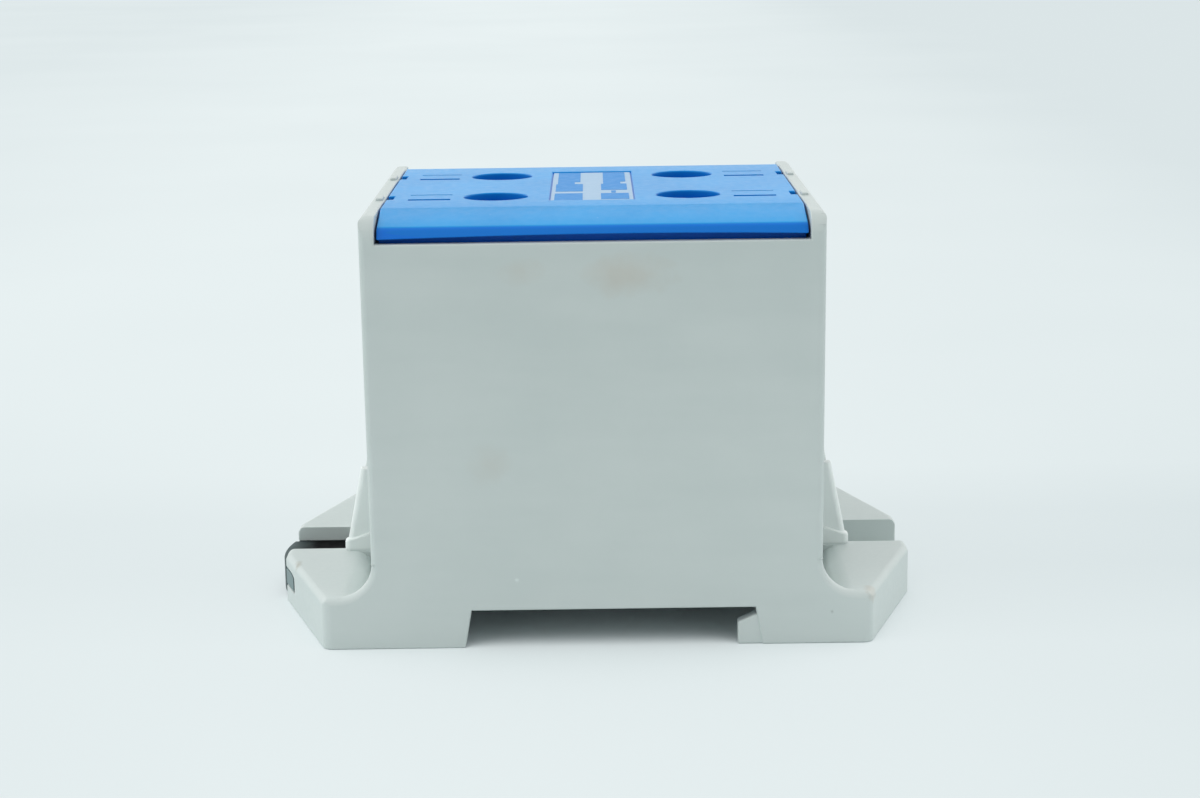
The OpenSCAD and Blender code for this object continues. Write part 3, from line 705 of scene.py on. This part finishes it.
def clamp_screw(node, body, material):
    """A grub screw: a cut thread with a bevelled tip and a hexagon socket."""
    low, high = (Vector(corner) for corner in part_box(node))
    middle = (low + high) / 2
    radius = (high.x - low.x) / 2
    root = radius - THREAD_DEPTH
    bm = bmesh.new()

    start = low.z - THREAD_LEAD * THREAD_PITCH
    turns = math.ceil((high.z - start) / THREAD_PITCH) + 1
    flank = ((root, 0), *((radius, part) for part in THREAD_CREST), (root, 1))
    points = [bm.verts.new((middle.x + r, middle.y, start + part * THREAD_PITCH)) for r, part in flank]
    lines = [bm.edges.new(pair) for pair in zip(points, points[1:])]
    bmesh.ops.spin(bm, geom=points + lines, cent=middle, axis=(0, 0, 1), angle=2 * math.pi * turns,
                   dvec=(0, 0, THREAD_PITCH / THREAD_STEPS), steps=THREAD_STEPS * turns)
    bmesh.ops.remove_doubles(bm, verts=bm.verts, dist=WELD)
    for height, side in ((low.z, -1), (high.z, 1)):
        bmesh.ops.bisect_plane(bm, geom=bm.verts[:] + bm.edges[:] + bm.faces[:], dist=CUT_WIDTH,
                               plane_co=(0, 0, height), plane_no=(0, 0, side), clear_outer=True)

    for v in bm.verts:
        arm = Vector((v.co.x - middle.x, v.co.y - middle.y, 0))
        limit = min(radius * SCREW_TIP + v.co.z - low.z, radius - SCREW_CHAMFER + high.z - v.co.z)
        if arm.length > limit:
            v.co -= arm * (1 - limit / arm.length)

    bmesh.ops.edgeloop_fill(bm, edges=open_edges(bm, low.z))
    rim = open_edges(bm, high.z)
    place = Matrix.Translation((middle.x, middle.y, high.z))
    mouth = SOCKET_RADIUS + SOCKET_LEAD
    hexagon = bmesh.ops.create_circle(bm, segments=6, radius=mouth, matrix=place)["verts"]
    edges = edges_of(hexagon)
    bmesh.ops.bridge_loops(bm, edges=rim + edges)
    for scale, drop in ((SOCKET_RADIUS / mouth, SOCKET_LEAD), (1, SOCKET_DEPTH)):
        grown = bmesh.ops.extrude_edge_only(bm, edges=edges)["geom"]
        verts = [g for g in grown if isinstance(g, bmesh.types.BMVert)]
        edges = [g for g in grown if isinstance(g, bmesh.types.BMEdge)]
        bmesh.ops.scale(bm, vec=(scale, scale, 1), space=place.inverted(), verts=verts)
        bmesh.ops.translate(bm, vec=(0, 0, -drop), verts=verts)
    bottom = bmesh.ops.edgeloop_fill(bm, edges=edges)["faces"]
    drilled = bmesh.ops.poke(bm, faces=bottom)["verts"]
    bmesh.ops.translate(bm, vec=(0, 0, -DRILL_CONE), verts=drilled)
    bmesh.ops.recalc_face_normals(bm, faces=bm.faces)
    new_piece(node + "_thread", bm, material, body, "screw", node)


def return_spring(material):
    """A coil spring with closed ends, built at rest; the real spring shortens as the latch is pulled."""
    low, high = (Vector(corner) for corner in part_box("latch_spring"))
    middle = (low + high) / 2
    coil = (high.y - low.y) / 2 - WIRE_RADIUS
    closed = CLOSED_PITCH * WIRE_RADIUS
    pitch = (high.x - low.x - 2 * WIRE_RADIUS - 2 * closed) / ACTIVE_TURNS
    bm = bmesh.new()
    place = Matrix.Translation((low.x + WIRE_RADIUS, middle.y, middle.z + coil))
    upright = place @ Matrix.Rotation(math.pi / 2, 4, "X")
    ring = bmesh.ops.create_circle(bm, segments=WIRE_SIDES, radius=WIRE_RADIUS, matrix=upright)["verts"]
    first = edges_of(ring)
    geometry = ring + first
    for turns, advance in ((1, closed), (ACTIVE_TURNS, pitch), (1, closed)):
        coiled = bmesh.ops.spin(bm, geom=geometry, cent=middle, axis=(1, 0, 0), angle=2 * math.pi * turns,
                                dvec=(advance / SPRING_STEPS, 0, 0), steps=SPRING_STEPS * turns)
        geometry = coiled["geom_last"]
    last = [g for g in geometry if isinstance(g, bmesh.types.BMEdge)]
    for end in (first, last):
        bmesh.ops.edgeloop_fill(bm, edges=end)
    bmesh.ops.recalc_face_normals(bm, faces=bm.faces)
    piece = new_piece("return_spring", bm, material, "base", "spring", "latch_spring")
    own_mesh(piece)


def thin_slab(bm, x0, x1, y0, y1, bottom, thickness, corner):
    """A thin printed shape with round corners."""
    size = Matrix.Diagonal((x1 - x0, y1 - y0, thickness, 1))
    place = Matrix.Translation(((x0 + x1) / 2, (y0 + y1) / 2, bottom + thickness / 2))
    verts = bmesh.ops.create_cube(bm, size=1, matrix=place @ size)["verts"]
    upright = [e for e in edges_of(verts) if abs(e.verts[0].co.z - e.verts[1].co.z) > thickness / 2]
    round_edges(bm, upright, corner)


def label(field_material, bar_material):
    """The printed field in the lid's sunk panel, with plain bars."""
    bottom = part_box("lid")[1][2] - PANEL_DEPTH
    bm = bmesh.new()
    thin_slab(bm, FIELD_MARGIN - PANEL_WIDTH / 2, PANEL_WIDTH / 2 - FIELD_MARGIN,
              FIELD_MARGIN - PANEL_LENGTH / 2, PANEL_LENGTH / 2 - FIELD_MARGIN,
              bottom, FIELD_THICKNESS, FIELD_CORNER)
    new_piece("label_field", bm, field_material, "lid", "lid")
    bm = bmesh.new()
    for bar in BARS:
        thin_slab(bm, *(part * MM for part in bar), bottom + FIELD_THICKNESS, BAR_THICKNESS, BAR_CORNER)
    new_piece("label_bars", bm, bar_material, "lid", "lid")


def set_camera():
    """The camera, turned by the fitted angles."""
    forward = Vector((math.sin(CAMERA_YAW) * math.cos(CAMERA_PITCH),
                      math.cos(CAMERA_YAW) * math.cos(CAMERA_PITCH), -math.sin(CAMERA_PITCH)))
    right = Vector((math.cos(CAMERA_YAW), -math.sin(CAMERA_YAW), 0))
    up = right.cross(forward)
    c, s = math.cos(CAMERA_ROLL), math.sin(CAMERA_ROLL)
    right, up = c * right - s * up, s * right + c * up
    data = bpy.data.cameras.new("photo_camera")
    data.sensor_fit = "HORIZONTAL"
    data.sensor_width = SENSOR_WIDTH
    data.lens = FOCAL_PIXELS / PHOTO_WIDTH * SENSOR_WIDTH
    data.clip_start = CLIP_START
    camera = bpy.data.objects.new("photo_camera", data)
    turn = Matrix((right, up, -forward)).transposed().to_4x4()
    camera.matrix_world = Matrix.Translation(CAMERA_PLACE) @ turn
    bpy.context.scene.collection.objects.link(camera)
    bpy.context.scene.camera = camera


def set_floor():
    """The wide floor that the block stands on."""
    bm = bmesh.new()
    bmesh.ops.create_grid(bm, x_segments=1, y_segments=1, size=FLOOR_HALF)
    mesh = bpy.data.meshes.new("floor")
    bm.to_mesh(mesh)
    bm.free()
    floor = bpy.data.objects.new("floor", mesh)
    bpy.context.scene.collection.objects.link(floor)
    mesh.materials.append(pale_floor())


def set_light():
    """A soft sky, brighter towards the sides, the back and the top, and a wide key light from far away."""
    world = bpy.data.worlds.new("studio")
    world.use_nodes = True
    bpy.context.scene.world = world
    bpy.context.scene.view_settings.view_transform = "Standard"
    sky = Graph(world.node_tree)
    x, y, z = sky.axes()
    shares = ((sky.math("ABSOLUTE", x), SKY_SIDES), (sky.math("MAXIMUM", y, 0.0), SKY_BACK),
              (sky.math("MAXIMUM", z, 0.0), SKY_TOP))
    strength = sky.total(SKY_LEVEL, *(sky.product(value, share) for value, share in shares))
    sky.link(strength, sky.nodes["Background"].inputs["Strength"])
    sky.nodes["Background"].inputs["Color"].default_value = (1, 1, 1, 1)
    data = bpy.data.lights.new("key", "SUN")
    data.energy = KEY_POWER
    data.angle = KEY_SPREAD
    key = bpy.data.objects.new("key", data)
    key.matrix_world = Vector(KEY_TOWARDS).to_track_quat("-Z", "Y").to_matrix().to_4x4()
    bpy.context.scene.collection.objects.link(key)


grey = grey_moulding()
blue = blue_moulding()
black = black_moulding()
tin = tinned_metal()
steel = plated_steel()
field = printed_colour("label_field", LABEL_FIELD, LABEL_FIELD_WORN)
bars = printed_colour("label_bars", LABEL_BAR, LABEL_BAR_WORN)

set_camera()
set_floor()
set_light()
housing_shell(grey)
lid_shell(blue)
label(field, bars)
connector(tin)
latch_slider(black)
return_spring(steel)
for place in ("front_left", "front_right", "rear_left", "rear_right"):
    clamp_screw("clamp_screw_" + place, "screw_" + place, steel)
